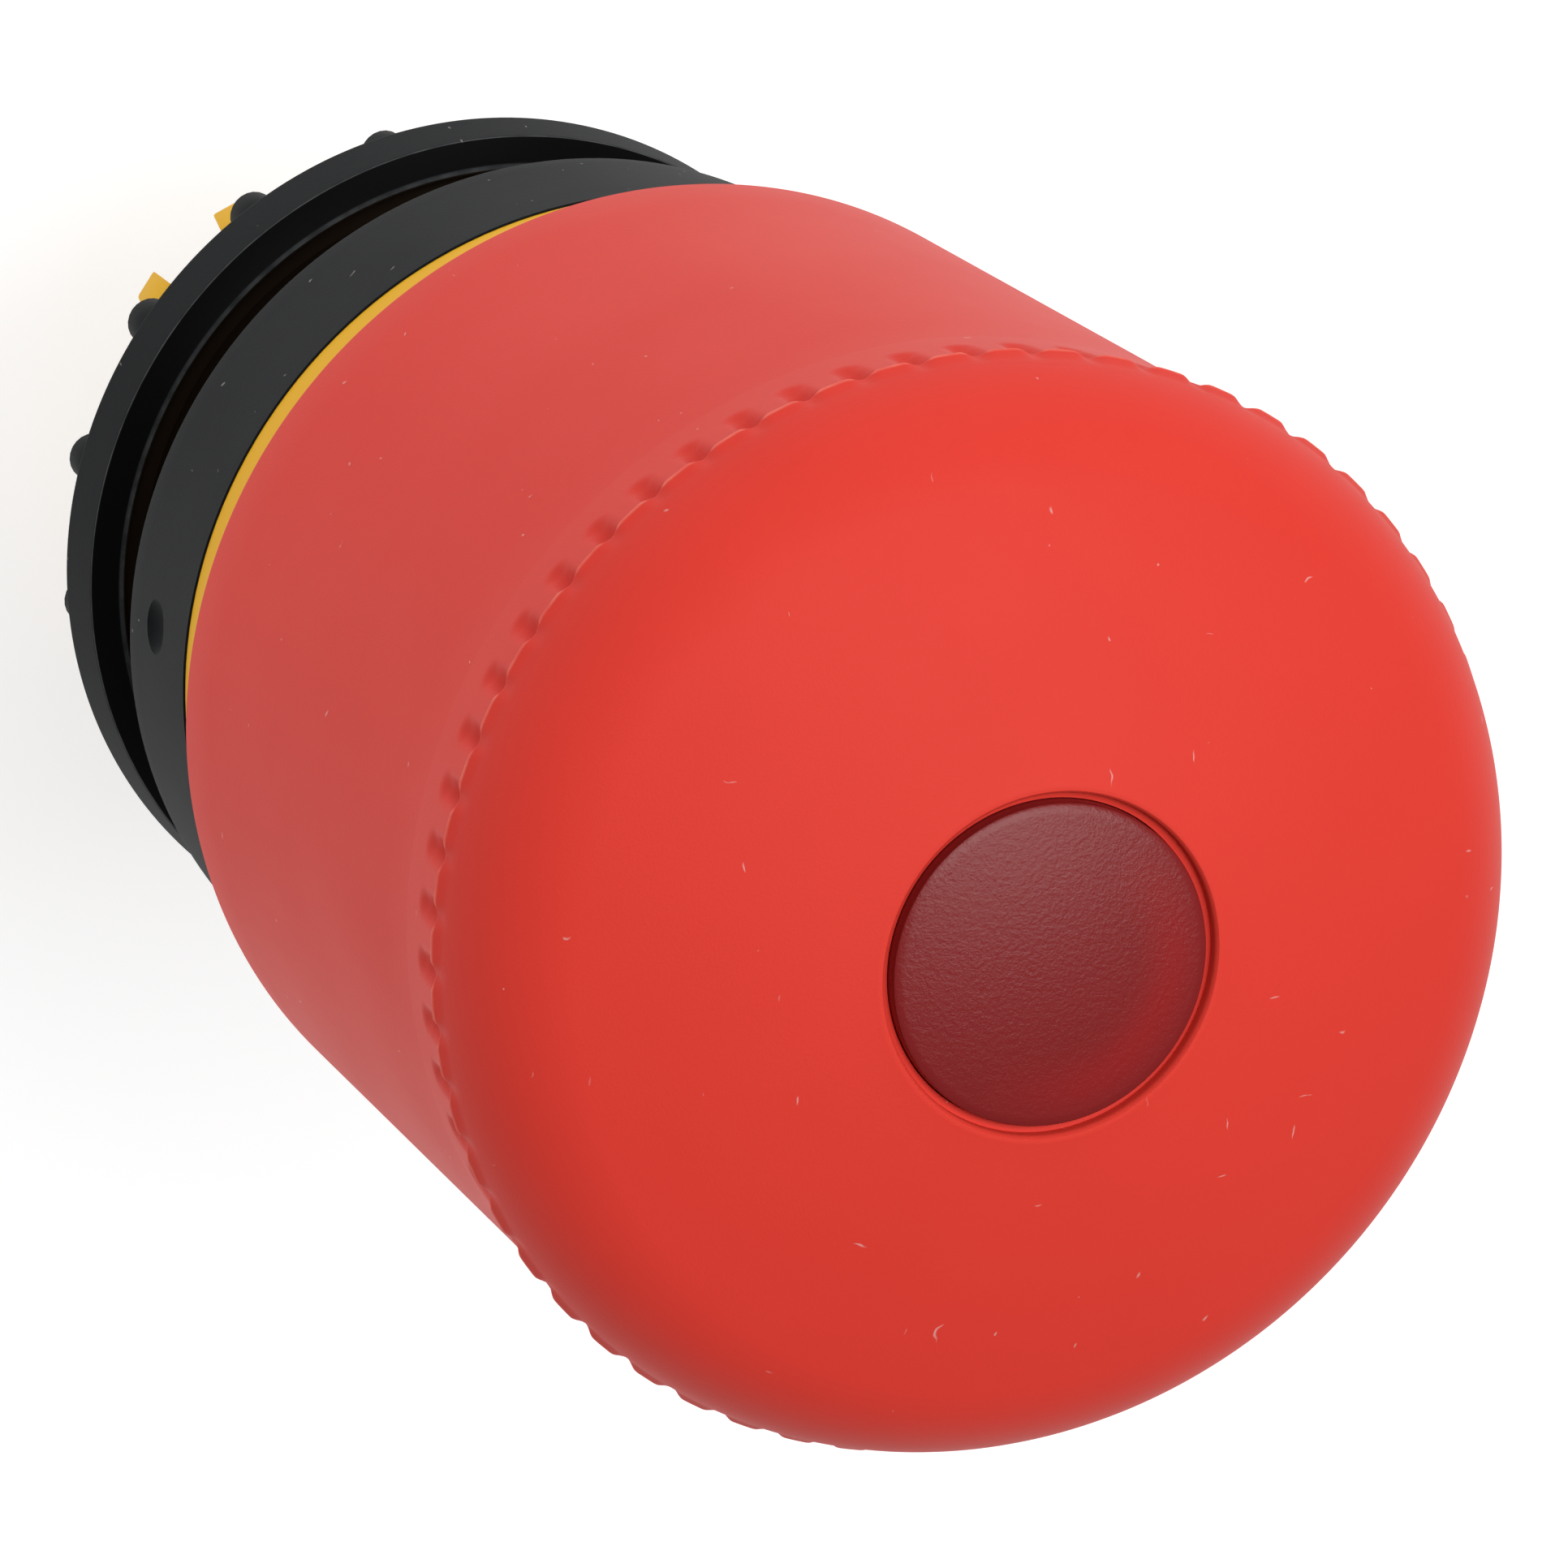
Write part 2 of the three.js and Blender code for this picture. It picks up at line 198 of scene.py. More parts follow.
flare_start = (18.42, 44.6)
flare_end = (18.86, RIM_HEIGHT - 0.16)
head_outline = [
    (16.62, SKIRT_HEIGHT),
    (SKIRT_RADIUS - 0.2, SKIRT_HEIGHT),
    *rounded((SKIRT_RADIUS - 0.2, SKIRT_HEIGHT + 0.2), 0.2, -60, 0, 2),
    *straight((SKIRT_RADIUS, SKIRT_HEIGHT + 0.2), flare_start, 10),
    *straight(flare_start, flare_end, 19),
    (RIM_RADIUS - 0.01, RIM_HEIGHT - 0.06),
    (RIM_RADIUS, RIM_HEIGHT),
    *rounded(EDGE_MIDDLE, EDGE_SIZE, 8, 67.1, 20),
    *rounded(FACE_MIDDLE, FACE_CURVE, 68.5, 80.9, 9),
    (BEAD_RADIUS + 0.12, BEAD_HEIGHT - 0.01),
    (BEAD_RADIUS + 0.04, BEAD_HEIGHT + 0.008),
    (BEAD_RADIUS - 0.06, BEAD_HEIGHT),
    (BEAD_RADIUS - 0.14, BEAD_HEIGHT - 0.07),
    (OPENING_RADIUS, BEAD_HEIGHT - 0.2),
    (OPENING_RADIUS, BEAD_HEIGHT - 0.5),
    (OPENING_RADIUS - 0.26, BEAD_HEIGHT - 0.55),
    (OPENING_RADIUS - 0.26, PLATE_HEIGHT),
    (16.4, PLATE_HEIGHT),
    (17.0, 50.9),
    (17.15, 46.4),
    (16.5, SKIRT_HEIGHT + 0.12),
]
head = turned("mushroom_head_shell", head_outline, NOTCHES * COLUMNS_PER_NOTCH)


def on_notch(low, high):
    """Picks the outside vertices in the middle of each notch, between two heights in mm."""
    def picks(point):
        column = math.degrees(math.atan2(point.y, point.x)) / 360 * NOTCHES * COLUMNS_PER_NOTCH
        offset = (round(column) - FIRST_NOTCH_COLUMN) % COLUMNS_PER_NOTCH
        outside = math.hypot(point.x, point.y) > 18.2 * MM
        return outside and offset == 0 and low * MM < point.z < high * MM
    return picks


for low in (46.9, 47.5, 48.1):
    pull_in(head, on_notch(low, 48.4), 0.9885, 0.62, ceiling=48.38)
pull_in(head, on_notch(48.4, 48.55), 0.989, 0.6)


def node_group(name, inputs, outputs):
    """An empty shader node group with named sockets, and its two end nodes."""
    group = bpy.data.node_groups.new(name, "ShaderNodeTree")
    for socket, kind, value in inputs:
        made = group.interface.new_socket(name=socket, in_out="INPUT", socket_type=kind)
        made.default_value = value
    for socket, kind in outputs:
        group.interface.new_socket(name=socket, in_out="OUTPUT", socket_type=kind)
    return group, group.nodes.new("NodeGroupInput"), group.nodes.new("NodeGroupOutput")


def spark_eroded_group():
    """Fine matt grain left by a spark-eroded mould, as a height."""
    group, given, result = node_group(
        "spark_eroded_grain", [("Scale", "NodeSocketFloat", 9000.0)], [("Height", "NodeSocketFloat")])
    nodes, link = group.nodes, group.links.new
    place = nodes.new("ShaderNodeTexCoord")
    coarse = nodes.new("ShaderNodeTexNoise")
    coarse.inputs["Detail"].default_value = 3.0
    coarse.inputs["Roughness"].default_value = 0.7
    link(place.outputs["Object"], coarse.inputs["Vector"])
    link(given.outputs["Scale"], coarse.inputs["Scale"])
    link(coarse.outputs["Fac"], result.inputs["Height"])
    return group


def lint_group():
    """Sparse pale specks and short curled fibres of dust, as a mask."""
    group, given, result = node_group(
        "lint_specks", [("Amount", "NodeSocketFloat", 0.5)], [("Mask", "NodeSocketFloat")])
    nodes, link = group.nodes, group.links.new
    place = nodes.new("ShaderNodeTexCoord")
    curl = nodes.new("ShaderNodeTexNoise")
    curl.inputs["Scale"].default_value = 900.0
    link(place.outputs["Object"], curl.inputs["Vector"])
    push = nodes.new("ShaderNodeVectorMath")
    push.operation = "MULTIPLY_ADD"
    push.inputs[1].default_value = (0.0009, 0.0009, 0.0009)
    link(curl.outputs["Color"], push.inputs[0])
    link(place.outputs["Object"], push.inputs[2])
    total = None
    for scale, stretch, size, share in (
            (1500.0, (1, 1, 1), 0.10, 0.93), (2600.0, (1, 1, 1), 0.12, 0.94),
            (1500.0, (1, 0.16, 0.4), 0.062, 0.6), (1400.0, (0.16, 1, 0.4), 0.06, 0.66)):
        squeeze = nodes.new("ShaderNodeMapping")
        squeeze.inputs["Scale"].default_value = stretch
        link(push.outputs["Vector"], squeeze.inputs["Vector"])
        cells = nodes.new("ShaderNodeTexVoronoi")
        cells.inputs["Scale"].default_value = scale
        link(squeeze.outputs["Vector"], cells.inputs["Vector"])
        dot = nodes.new("ShaderNodeMapRange")
        dot.inputs["From Min"].default_value = size
        dot.inputs["From Max"].default_value = size * 0.4
        link(cells.outputs["Distance"], dot.inputs["Value"])
        chosen = nodes.new("ShaderNodeMath")
        chosen.operation = "GREATER_THAN"
        chosen.inputs[1].default_value = share
        link(cells.outputs["Color"], chosen.inputs[0])
        both = nodes.new("ShaderNodeMath")
        both.operation = "MULTIPLY"
        link(dot.outputs["Result"], both.inputs[0])
        link(chosen.outputs["Value"], both.inputs[1])
        if total is None:
            total = both
            continue
        join = nodes.new("ShaderNodeMath")
        join.operation = "MAXIMUM"
        link(total.outputs["Value"], join.inputs[0])
        link(both.outputs["Value"], join.inputs[1])
        total = join
    strength = nodes.new("ShaderNodeMath")
    strength.operation = "MULTIPLY"
    link(total.outputs["Value"], strength.inputs[0])
    link(given.outputs["Amount"], strength.inputs[1])
    link(strength.outputs["Value"], result.inputs["Mask"])
    return group


def ring_line_group():
    """A line that runs round the axis at one radius and height, broken up a little, as a mask."""
    group, given, result = node_group(
        "ring_line",
        [("Radius", "NodeSocketFloat", 0.019), ("Height", "NodeSocketFloat", 0.0485),
         ("Reach", "NodeSocketFloat", 0.0001), ("Broken", "NodeSocketFloat", 0.5)],
        [("Mask", "NodeSocketFloat")])
    nodes, link = group.nodes, group.links.new
    place = nodes.new("ShaderNodeTexCoord")
    parts = nodes.new("ShaderNodeSeparateXYZ")
    link(place.outputs["Object"], parts.inputs["Vector"])
    flat = nodes.new("ShaderNodeCombineXYZ")
    link(parts.outputs["X"], flat.inputs["X"])
    link(parts.outputs["Y"], flat.inputs["Y"])
    radius = nodes.new("ShaderNodeVectorMath")
    radius.operation = "LENGTH"
    link(flat.outputs["Vector"], radius.inputs[0])
    offset = nodes.new("ShaderNodeCombineXYZ")
    for source, goal, axis in (
            (radius.outputs["Value"], given.outputs["Radius"], "X"),
            (parts.outputs["Z"], given.outputs["Height"], "Y")):
        gap = nodes.new("ShaderNodeMath")
        gap.operation = "SUBTRACT"
        link(source, gap.inputs[0])
        link(goal, gap.inputs[1])
        link(gap.outputs["Value"], offset.inputs[axis])
    away = nodes.new("ShaderNodeVectorMath")
    away.operation = "LENGTH"
    link(offset.outputs["Vector"], away.inputs[0])
    near = nodes.new("ShaderNodeMapRange")
    near.interpolation_type = "SMOOTHSTEP"
    near.inputs["From Max"].default_value = 0.0
    link(away.outputs["Value"], near.inputs["Value"])
    link(given.outputs["Reach"], near.inputs["From Min"])
    chips = nodes.new("ShaderNodeTexNoise")
    chips.inputs["Scale"].default_value = 1400.0
    link(place.outputs["Object"], chips.inputs["Vector"])
    fade = nodes.new("ShaderNodeMapRange")
    fade.inputs["From Min"].default_value = 0.35
    fade.inputs["From Max"].default_value = 0.65
    fade.inputs["To Min"].default_value = 1.0
    link(chips.outputs["Fac"], fade.inputs["Value"])
    keep = nodes.new("ShaderNodeMath")
    keep.operation = "SUBTRACT"
    keep.inputs[0].default_value = 1.0
    link(given.outputs["Broken"], keep.inputs[1])
    link(keep.outputs["Value"], fade.inputs["To Max"])
    both = nodes.new("ShaderNodeMath")
    both.operation = "MULTIPLY"
    link(near.outputs["Result"], both.inputs[0])
    link(fade.outputs["Result"], both.inputs[1])
    link(both.outputs["Value"], result.inputs["Mask"])
    return group


def drift_group():
    """Slow variation between two close colours, as pigment and handling leave it."""
    group, given, result = node_group(
        "colour_drift",
        [("First", "NodeSocketColor", (0.5, 0.5, 0.5, 1)),
         ("Second", "NodeSocketColor", (0.5, 0.5, 0.5, 1)),
         ("Scale", "NodeSocketFloat", 120.0)],
        [("Color", "NodeSocketColor"), ("Cloud", "NodeSocketFloat")])
    nodes, link = group.nodes, group.links.new
    place = nodes.new("ShaderNodeTexCoord")
    cloud = nodes.new("ShaderNodeTexNoise")
    cloud.inputs["Detail"].default_value = 4.0
    link(place.outputs["Object"], cloud.inputs["Vector"])
    link(given.outputs["Scale"], cloud.inputs["Scale"])
    blend = nodes.new("ShaderNodeMix")
    blend.data_type = "RGBA"
    link(cloud.outputs["Fac"], blend.inputs["Factor"])
    link(given.outputs["First"], blend.inputs[6])
    link(given.outputs["Second"], blend.inputs[7])
    link(blend.outputs[2], result.inputs["Color"])
    link(cloud.outputs["Fac"], result.inputs["Cloud"])
    return group


GRAIN = spark_eroded_group()
LINT = lint_group()
RING_LINE = ring_line_group()
DRIFT = drift_group()


def moulded(name, first, second, roughness, grain, depth, dust, wear_and_highlight, lines=(), sheen=0.5):
    """A moulded plastic or rubber: drifting colour, grain, lint, and ring lines in mm in a paler colour,
    which stand for rubbed wear on some edges and are painted highlights on others.
    """
    material = bpy.data.materials.new(name)
    material.use_nodes = True
    nodes, link = material.node_tree.nodes, material.node_tree.links.new
    shader = nodes["Principled BSDF"]
    shader.inputs["Specular IOR Level"].default_value = sheen
    drift = nodes.new("ShaderNodeGroup")
    drift.node_tree = DRIFT
    drift.inputs["First"].default_value = (*first, 1)
    drift.inputs["Second"].default_value = (*second, 1)
    colour = drift.outputs["Color"]
    # Each ring line paints the paler colour along an edge: rubbed wear on some edges, a painted highlight
    # on others.
    for radius, height, reach in lines:
        line = nodes.new("ShaderNodeGroup")
        line.node_tree = RING_LINE
        line.inputs["Radius"].default_value = radius * MM
        line.inputs["Height"].default_value = height * MM
        line.inputs["Reach"].default_value = reach * MM
        wear_and_highlight_mix = nodes.new("ShaderNodeMix")
        wear_and_highlight_mix.data_type = "RGBA"
        wear_and_highlight_mix.inputs[7].default_value = (*wear_and_highlight, 1)
        link(line.outputs["Mask"], wear_and_highlight_mix.inputs["Factor"])
        link(colour, wear_and_highlight_mix.inputs[6])
        colour = wear_and_highlight_mix.outputs[2]
    lint = nodes.new("ShaderNodeGroup")
    lint.node_tree = LINT
    lint.inputs["Amount"].default_value = dust
    specks = nodes.new("ShaderNodeMix")
    specks.data_type = "RGBA"
    specks.inputs[7].default_value = (0.75, 0.66, 0.62, 1)
    link(lint.outputs["Mask"], specks.inputs["Factor"])
    link(colour, specks.inputs[6])
    link(specks.outputs[2], shader.inputs["Base Color"])
    finish = nodes.new("ShaderNodeMapRange")
    finish.inputs["To Min"].default_value = roughness - 0.05
    finish.inputs["To Max"].default_value = roughness + 0.05
    link(drift.outputs["Cloud"], finish.inputs["Value"])
    link(finish.outputs["Result"], shader.inputs["Roughness"])
    pits = nodes.new("ShaderNodeGroup")
    pits.node_tree = GRAIN
    pits.inputs["Scale"].default_value = grain
    bump = nodes.new("ShaderNodeBump")
    bump.inputs["Strength"].default_value = 1.0
    bump.inputs["Distance"].default_value = depth * MM
    link(pits.outputs["Height"], bump.inputs["Height"])
    link(bump.outputs["Normal"], shader.inputs["Normal"])
    return material


# The paler ring line along the rim crest is a painted highlight where the crest catches the light.
red_plastic = moulded(
    "red_matt_plastic", (0.77, 0.052, 0.036), (0.72, 0.046, 0.031), 0.5, 9000.0, 0.010, 0.42,
    (0.83, 0.19, 0.14), [(RIM_RADIUS - 0.03, RIM_HEIGHT, 0.11)], sheen=0.08)
head.data.materials.append(red_plastic)
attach(head, "head")
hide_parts("mushroom_head")

# Head lens: a shallow dome in clear red plastic with a fine pebbled skin, dropped into the head from
# behind. It carries the face's curve on, and with its seal and light guide right under it looks dark.
LENS_RADIUS = 5.54
LENS_EDGE_HEIGHT = 55.71
LENS_REAR_HEIGHT = 52.35
lens_turn = math.degrees(math.asin(LENS_RADIUS / FACE_CURVE))
lens_middle = (0, LENS_EDGE_HEIGHT - FACE_CURVE * math.cos(math.radians(lens_turn)))
lens_outline = [
    (0, LENS_REAR_HEIGHT),
    (LENS_RADIUS, LENS_REAR_HEIGHT),
    (LENS_RADIUS, LENS_EDGE_HEIGHT - 0.12),
    (LENS_RADIUS - 0.03, LENS_EDGE_HEIGHT - 0.04),
    *rounded(lens_middle, FACE_CURVE, 90.15 - lens_turn, 90, 20),
]
lens = turned("lens_dome", lens_outline, 128)
lens_material = bpy.data.materials.new("red_clear_plastic")
lens_material.use_nodes = True
lens_nodes, lens_link = lens_material.node_tree.nodes, lens_material.node_tree.links.new
lens_shader = lens_nodes["Principled BSDF"]
lens_shader.inputs["Roughness"].default_value = 0.3
lens_shader.inputs["Specular IOR Level"].default_value = 0.3
lens_drift = lens_nodes.new("ShaderNodeGroup")
lens_drift.node_tree = DRIFT
lens_drift.inputs["First"].default_value = (0.23, 0.014, 0.015, 1)
lens_drift.inputs["Second"].default_value = (0.20, 0.012, 0.013, 1)
# A brighter red arc near the lens edge, on one side only, is painted light caught inside the clear
# plastic.
lens_painted_light_ring = lens_nodes.new("ShaderNodeGroup")
lens_painted_light_ring.node_tree = RING_LINE
lens_painted_light_ring.inputs["Radius"].default_value = 4.2 * MM
lens_painted_light_ring.inputs["Height"].default_value = 55.9 * MM
lens_painted_light_ring.inputs["Reach"].default_value = 1.6 * MM
lens_painted_light_ring.inputs["Broken"].default_value = 0.0
lens_place = lens_nodes.new("ShaderNodeTexCoord")
lens_side = lens_nodes.new("ShaderNodeVectorMath")
lens_side.operation = "DOT_PRODUCT"
lens_side.inputs[1].default_value = (0.9, -0.45, 0)
lens_link(lens_place.outputs["Object"], lens_side.inputs[0])
lens_share = lens_nodes.new("ShaderNodeMapRange")
lens_share.inputs["From Max"].default_value = 4.0 * MM
lens_share.inputs["To Max"].default_value = 0.5
lens_link(lens_side.outputs["Value"], lens_share.inputs["Value"])
lens_painted_light_arc = lens_nodes.new("ShaderNodeMath")
lens_painted_light_arc.operation = "MULTIPLY"
lens_link(lens_painted_light_ring.outputs["Mask"], lens_painted_light_arc.inputs[0])
lens_link(lens_share.outputs["Result"], lens_painted_light_arc.inputs[1])
lens_painted_light_mix = lens_nodes.new("ShaderNodeMix")
lens_painted_light_mix.data_type = "RGBA"
lens_painted_light_mix.inputs[7].default_value = (0.36, 0.012, 0.012, 1)
lens_link(lens_painted_light_arc.outputs["Value"], lens_painted_light_mix.inputs["Factor"])
lens_link(lens_drift.outputs["Color"], lens_painted_light_mix.inputs[6])
lens_link(lens_painted_light_mix.outputs[2], lens_shader.inputs["Base Color"])
pebbles = lens_nodes.new("ShaderNodeGroup")
pebbles.node_tree = GRAIN
pebbles.inputs["Scale"].default_value = 5600.0
pebble_bump = lens_nodes.new("ShaderNodeBump")
pebble_bump.inputs["Distance"].default_value = 0.022 * MM
lens_link(pebbles.outputs["Height"], pebble_bump.inputs["Height"])
lens_link(pebble_bump.outputs["Normal"], lens_shader.inputs["Normal"])
lens.data.materials.append(lens_material)
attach(lens, "head")
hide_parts("head_lens")

# Yellow ring: a plain moulded sleeve, the signal colour under the head. It is pressed on the guard collar
# and goes out of sight under the skirt when the head is in.
YELLOW_RADIUS = 16.1
YELLOW_BORE = 13.6
YELLOW_REAR = 16.5
YELLOW_FRONT = 24.0
yellow_outline = [
    (YELLOW_BORE, YELLOW_REAR),
    (YELLOW_RADIUS, YELLOW_REAR),
    (YELLOW_RADIUS, YELLOW_FRONT - 0.2),
    (YELLOW_RADIUS - 0.2, YELLOW_FRONT),
    (YELLOW_BORE, YELLOW_FRONT),
]
yellow_band = turned("yellow_signal_ring", yellow_outline, 160)
yellow_plastic = moulded(
    "yellow_satin_plastic", (0.92, 0.50, 0.008), (0.87, 0.46, 0.006), 0.5, 8000.0, 0.006, 0.25,
    (0.92, 0.58, 0.08), sheen=0.15)
yellow_band.data.materials.append(yellow_plastic)
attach(yellow_band, "housing")
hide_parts("yellow_ring")

# Guard collar: a satin black moulding that keeps dust out of the skirt, pressed on the barrel's neck. One
# round, sharp-edged witness mark of the mould's core pin is left in its side.
COLLAR_REAR_RADIUS = 15.7
COLLAR_FRONT_RADIUS = 16.17
COLLAR_REAR = 9.5
COLLAR_FRONT = 16.5
PIN_ANGLE = math.radians(181.3)
PIN_HEIGHT = 12.7
PIN_MIDDLE = 16.95
PIN_BALL_RADIUS = 1.45
collar_outline = [
    (8.5, COLLAR_REAR),
    (COLLAR_REAR_RADIUS - 0.25, COLLAR_REAR),
    *rounded((COLLAR_REAR_RADIUS - 0.25, COLLAR_REAR + 0.25), 0.25, -60, 0, 3),
    *straight((COLLAR_REAR_RADIUS, COLLAR_REAR + 0.25), (COLLAR_FRONT_RADIUS, COLLAR_FRONT - 0.05), 8),
    (COLLAR_FRONT_RADIUS - 0.05, COLLAR_FRONT),
    (13.5, COLLAR_FRONT),
    (13.5, 11.5),
    (8.5, 11.5),
]
collar = turned("guard_collar_cup", collar_outline, 240)


def carve(piece, tool):
    """Cuts a tool out of a piece and takes the tool away."""
    bpy.ops.object.select_all(action="DESELECT")
    bpy.context.view_layer.objects.active = piece
    piece.select_set(True)
    step = piece.modifiers.new("carve", "BOOLEAN")
    step.operation = "DIFFERENCE"
    step.object = tool
    bpy.ops.object.modifier_apply(modifier="carve")
    bpy.data.objects.remove(tool)


pin_place = (PIN_MIDDLE * math.cos(PIN_ANGLE), PIN_MIDDLE * math.sin(PIN_ANGLE), PIN_HEIGHT)
bpy.ops.object.select_all(action="DESELECT")
bpy.ops.mesh.primitive_uv_sphere_add(
    segments=48, ring_count=24, radius=PIN_BALL_RADIUS * MM, location=[MM * part for part in pin_place])
carve(collar, bpy.context.object)
bpy.ops.object.shade_smooth_by_angle(angle=math.radians(32))
# The ring line on the bezel's thin land, at 14.0 mm, is a painted highlight where the step's edge catches
# the light; the lines on the bezel's outer front edge and the collar's rear edge are rubbed wear.
black_plastic = moulded(
    "black_satin_plastic", (0.0085, 0.0100, 0.0115), (0.0065, 0.0078, 0.009), 0.6, 9000.0, 0.008, 0.3,
    (0.110, 0.112, 0.115), [(14.0, 4.07, 0.14), (14.91, 3.35, 0.05), (COLLAR_REAR_RADIUS, 9.6, 0.05)],
    sheen=0.08)
collar.data.materials.append(black_plastic)
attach(collar, "housing")
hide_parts("guard_collar")

# Operator barrel: one moulding in glass-filled black plastic, with a smooth neck in front of the bezel and
# a 1.5 mm trapezoid thread behind the panel.
BARREL_BORE = 8.5
BARREL_REAR = -7.7
NECK_RADIUS = 12.8
THREAD_RADIUS = 11.0
THREAD_ROOT = 10.35
THREAD_PITCH = 1.5
BEZEL_HEIGHT = 4.07
barrel_outline = [
    (BARREL_BORE, BARREL_REAR),
    (THREAD_RADIUS - 0.5, BARREL_REAR),
    (THREAD_RADIUS, BARREL_REAR + 0.5),
]
for turn in range(4):
    crest = -6.9 + turn * THREAD_PITCH
    barrel_outline += [
        (THREAD_RADIUS, crest + 0.1),
        (THREAD_ROOT, crest + 0.55),
        (THREAD_ROOT, crest + 0.8),
        (THREAD_RADIUS, crest + 1.25),
    ]
barrel_outline += [
    (THREAD_RADIUS, BEZEL_HEIGHT),
    (NECK_RADIUS, BEZEL_HEIGHT),
    (NECK_RADIUS, COLLAR_REAR),
    (BARREL_BORE, COLLAR_REAR),
]
barrel = turned("threaded_barrel", barrel_outline, 160)
barrel.data.materials.append(black_plastic)
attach(barrel, "housing")
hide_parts("operator_barrel")

# Bezel ring: the black front flange that clamps the gasket on the panel. Its side is grained and tapers a
# little, its front chamfer is smooth and painted near-black as painted shade under the collar, the thin
# land carries a painted highlight, and inside the land a groove round the neck shows brown-black.
bezel_outline = [
    (11.2, 1.0),
    (14.85, 1.0),
    *rounded((14.83, 1.2), 0.2, -60, 0, 3),
    *straight((15.03, 1.2), (14.92, 3.3), 4),
    (14.88, 3.38),
    (14.12, 4.03),
    (14.06, BEZEL_HEIGHT),
    (13.94, BEZEL_HEIGHT),
    (13.86, 4.02),
    (13.75, 3.2),
    (13.0, 3.2),
    (12.95, 4.05),
    (11.2, 4.05),
]
bezel = turned("bezel_flange", bezel_outline, 240, sharp=12)
bezel.data.materials.append(black_plastic)
# The chamfer's near-black colour, darker than the rest of the bezel, is painted shade from the head and
# collar above it.
for name, colour, gloss, test in (
        ("chamfer_painted_shade", (0.0012, 0.0012, 0.0013), 0.36,
         lambda r, z: r > 14.15 and z > 3.4),
        ("brown_black_groove", (0.030, 0.018, 0.010), 0.55,
         lambda r, z: 12.9 < r < 13.95 and 3.1 < z < 4.06)):
    darker = tuple(0.7 * part for part in colour)
    skin = moulded(name, colour, darker, gloss, 7000.0, 0.004, 0.1, colour, sheen=0.1)
    bezel.data.materials.append(skin)
    for face in bezel.data.polygons:
        if test(math.hypot(face.center.x, face.center.y) / MM, face.center.z / MM):
            face.material_index = len(bezel.data.materials) - 1
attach(bezel, "housing")
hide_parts("bezel_ring")

# Panel gasket: a soft black rubber ring with two sealing lips, moulded on its own and trapped between the
# bezel and the panel when the nut is done up.
gasket_outline = [
    (11.3, 0.15), (11.5, 0.0), (12.2, 0.0), (12.4, 0.2), (12.9, 0.2), (13.1, 0.0), (13.85, 0.0),
    (14.0, 0.15), (14.0, 1.0), (11.3, 1.0),
]
gasket = turned("panel_gasket_ring", gasket_outline, 128)
black_rubber = moulded(
    "black_rubber", (0.012, 0.012, 0.012), (0.018, 0.018, 0.018), 0.78, 5000.0, 0.02, 0.5,
    (0.03, 0.03, 0.03))
gasket.data.materials.append(black_rubber)
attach(gasket, "housing")
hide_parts("panel_gasket")

# Ring nut: a flat black plastic moulding with sixteen round grip knobs on its edge. It is screwed on the
# barrel by hand, behind the panel.
NUT_BORE = 11.15
NUT_RADIUS = 12.95
NUT_REAR = -2.2
NUT_FRONT = -0.3
KNOBS = 16
KNOB_PHASE = 14.8
KNOB_MIDDLE = 13.3
KNOB_SIZE = 0.85


def slab(name, outline, rear, front, bore):
    """A flat outline of (x, y) points in mm made solid between two heights, with a round hole."""
    bpy.ops.object.select_all(action="DESELECT")
    bpy.ops.mesh.primitive_plane_add(size=MM)
    piece = bpy.context.object
    piece.name = name
    piece.data.name = name
    bpy.ops.object.mode_set(mode="EDIT")
    bpy.ops.mesh.select_all(action="SELECT")
    bpy.ops.mesh.merge(type="CENTER")
    here = (0.0, 0.0)
    for number, (x, y) in enumerate(outline):
        step = ((x - here[0]) * MM, (y - here[1]) * MM, 0)
        if number == 0:
            bpy.ops.transform.translate(value=(step[0], step[1], rear * MM))
        else:
            bpy.ops.mesh.extrude_vertices_move(TRANSFORM_OT_translate={"value": step})
        here = (x, y)
    bpy.ops.mesh.select_all(action="SELECT")
    bpy.ops.mesh.edge_face_add()
    bpy.ops.mesh.extrude_region_move(TRANSFORM_OT_translate={"value": (0, 0, (front - rear) * MM)})
    bpy.ops.mesh.select_all(action="SELECT")
    bpy.ops.mesh.normals_make_consistent(inside=False)
    bpy.ops.object.mode_set(mode="OBJECT")
    bpy.ops.object.select_all(action="DESELECT")
    bpy.ops.mesh.primitive_cylinder_add(
        vertices=96, radius=bore * MM, depth=3 * (front - rear) * MM, location=(0, 0, rear * MM))
    carve(piece, bpy.context.object)
    return piece


def soften(piece, width):
    """Breaks the sharp edges of a piece."""
    round_off = piece.modifiers.new("round_off", "BEVEL")
    round_off.width = width * MM
    round_off.segments = 2
    round_off.limit_method = "ANGLE"
    round_off.angle_limit = math.radians(40)
    bpy.ops.object.modifier_apply(modifier="round_off")
    bpy.ops.object.shade_smooth_by_angle(angle=math.radians(30))


